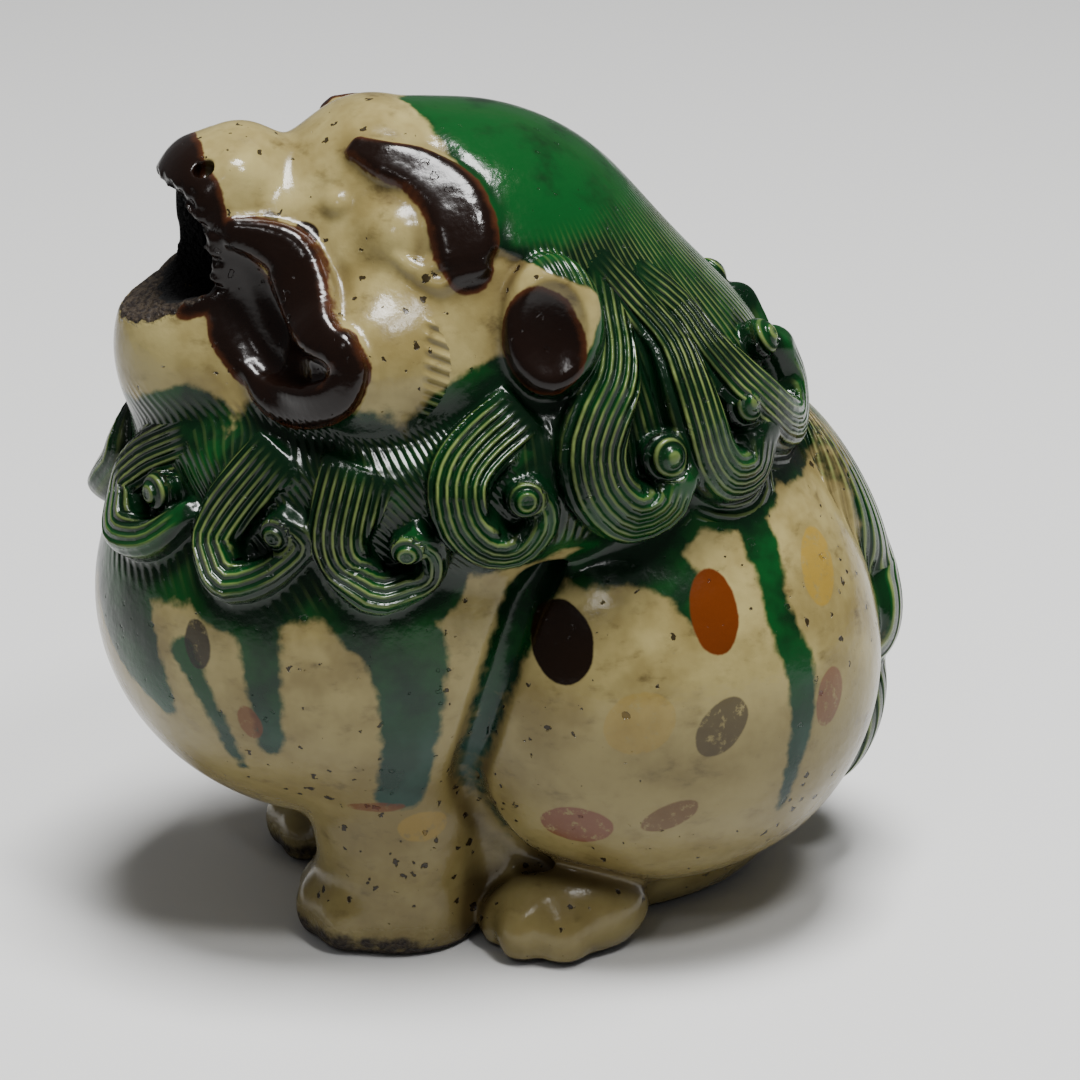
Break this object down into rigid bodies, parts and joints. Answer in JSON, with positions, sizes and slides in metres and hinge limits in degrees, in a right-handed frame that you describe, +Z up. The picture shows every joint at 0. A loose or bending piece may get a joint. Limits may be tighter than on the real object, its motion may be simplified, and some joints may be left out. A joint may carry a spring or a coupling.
{
  "type": "foo dog statue",
  "caption": "Small crouching guardian lion in green, brown and cream glazed pottery, hollow, with its head thrown up, its mouth open and a curled mane.",
  "frame": {"origin": "centre of the figure's footprint box, on the ground it stands on", "axes": "+Z up, the lion faces -Y, +X is the lion's left side; left and right are mirror images"},
  "size_m": [0.0584, 0.0835, 0.0834],
  "materials": {
    "cream_glaze": "glossy crazed straw-coloured lead glaze over buff clay, with brown specks",
    "green_glaze": "glossy copper-green lead glaze, pooled dark in the grooves",
    "brown_glaze": "glossy near-black iron-brown lead glaze"
  },
  "bodies": {
    "root": {"body_shell": "cream_glaze", "head_shell": "cream_glaze", "nose": "cream_glaze", "lower_jaw": "cream_glaze", "left_eye": "cream_glaze", "left_cheek": "cream_glaze", "left_forepaw": "cream_glaze", "left_hind_paw": "cream_glaze", "left_haunch": "cream_glaze", "left_shoulder": "cream_glaze", "left_ear": "brown_glaze", "left_brow": "brown_glaze", "left_lip": "brown_glaze", "left_lock_1": "green_glaze", "left_lock_2": "green_glaze", "left_lock_3": "green_glaze", "left_lock_4": "green_glaze", "left_lock_5": "green_glaze", "left_lock_6": "green_glaze", "left_lock_7": "green_glaze", "right_eye": "cream_glaze", "right_cheek": "cream_glaze", "right_forepaw": "cream_glaze", "right_hind_paw": "cream_glaze", "right_haunch": "cream_glaze", "right_shoulder": "cream_glaze", "right_ear": "brown_glaze", "right_brow": "brown_glaze", "right_lip": "brown_glaze", "right_lock_1": "green_glaze", "right_lock_2": "green_glaze", "right_lock_3": "green_glaze", "right_lock_4": "green_glaze", "right_lock_5": "green_glaze", "right_lock_6": "green_glaze", "right_lock_7": "green_glaze", "tail_plume": "green_glaze", "tail_curl": "green_glaze", "tail_tuft": "green_glaze", "mane_cap": "green_glaze", "tail_knob": "brown_glaze"}
  },
  "joints": []
}
